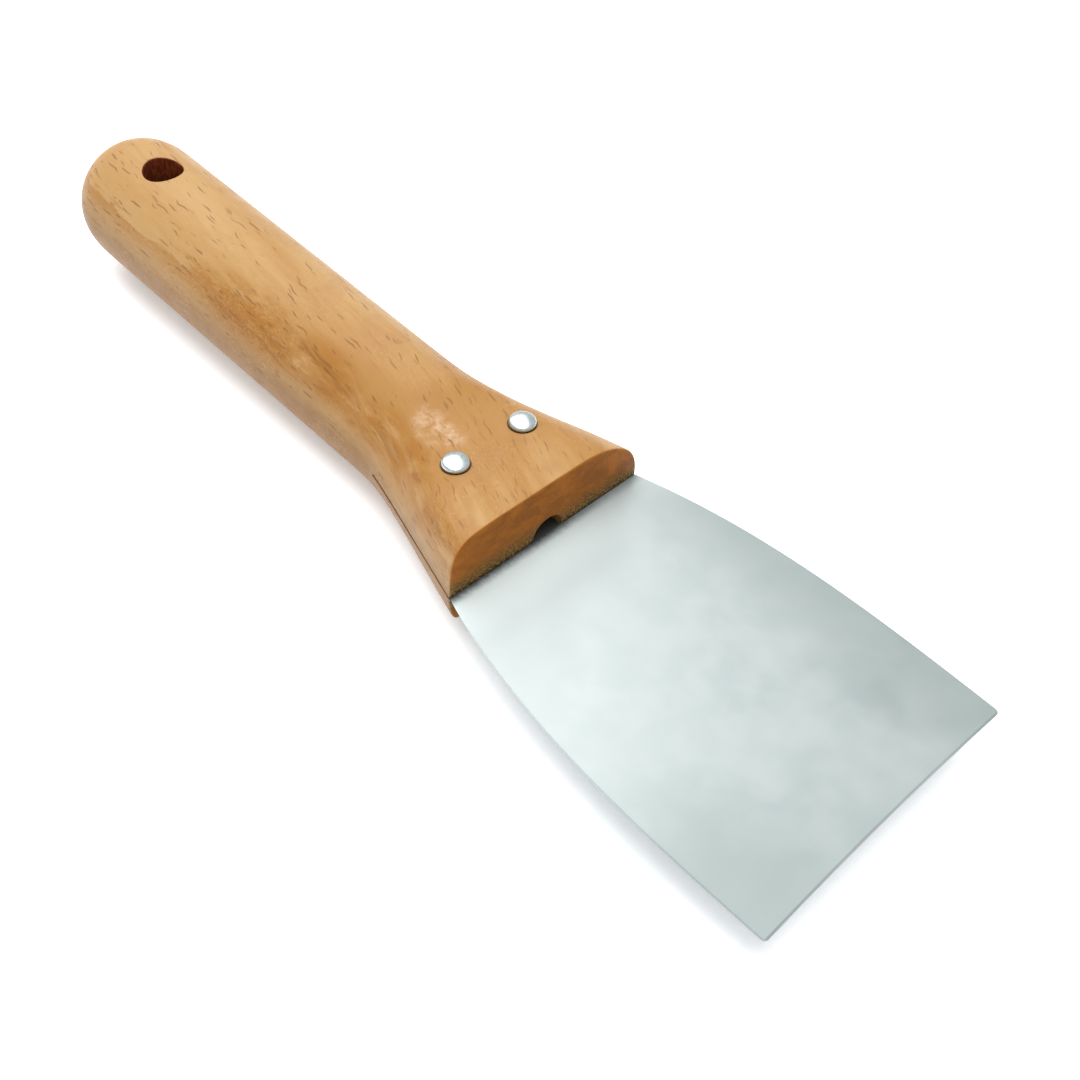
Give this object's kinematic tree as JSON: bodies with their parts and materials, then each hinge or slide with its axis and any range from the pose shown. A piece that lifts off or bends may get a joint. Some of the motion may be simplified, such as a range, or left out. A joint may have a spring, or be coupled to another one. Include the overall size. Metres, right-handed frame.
{
  "type": "uncapping knife",
  "caption": "Short uncapping scraper with a thin flared steel blade riveted into a sawn slot in a turned beech handle with a hang hole.",
  "frame": {"origin": "on the hang hole's axis, at the middle of the blade's thickness", "axes": "+X along the tool towards the cutting edge, +Y across the blade, +Z square to the blade on the side with the planed flat near it"},
  "size_m": [0.2529, 0.0708, 0.0324],
  "materials": {
    "beech": "varnished beech, short dark flecks",
    "blade_steel": "satin cold-rolled stainless sheet",
    "rivet_metal": "polished nickel-plated steel"
  },
  "bodies": {
    "root": {"handle": "beech", "blade": "blade_steel", "rivet_pin_left": "rivet_metal", "rivet_pin_right": "rivet_metal", "rivet_sleeve_left": "rivet_metal", "rivet_sleeve_right": "rivet_metal"}
  },
  "joints": []
}
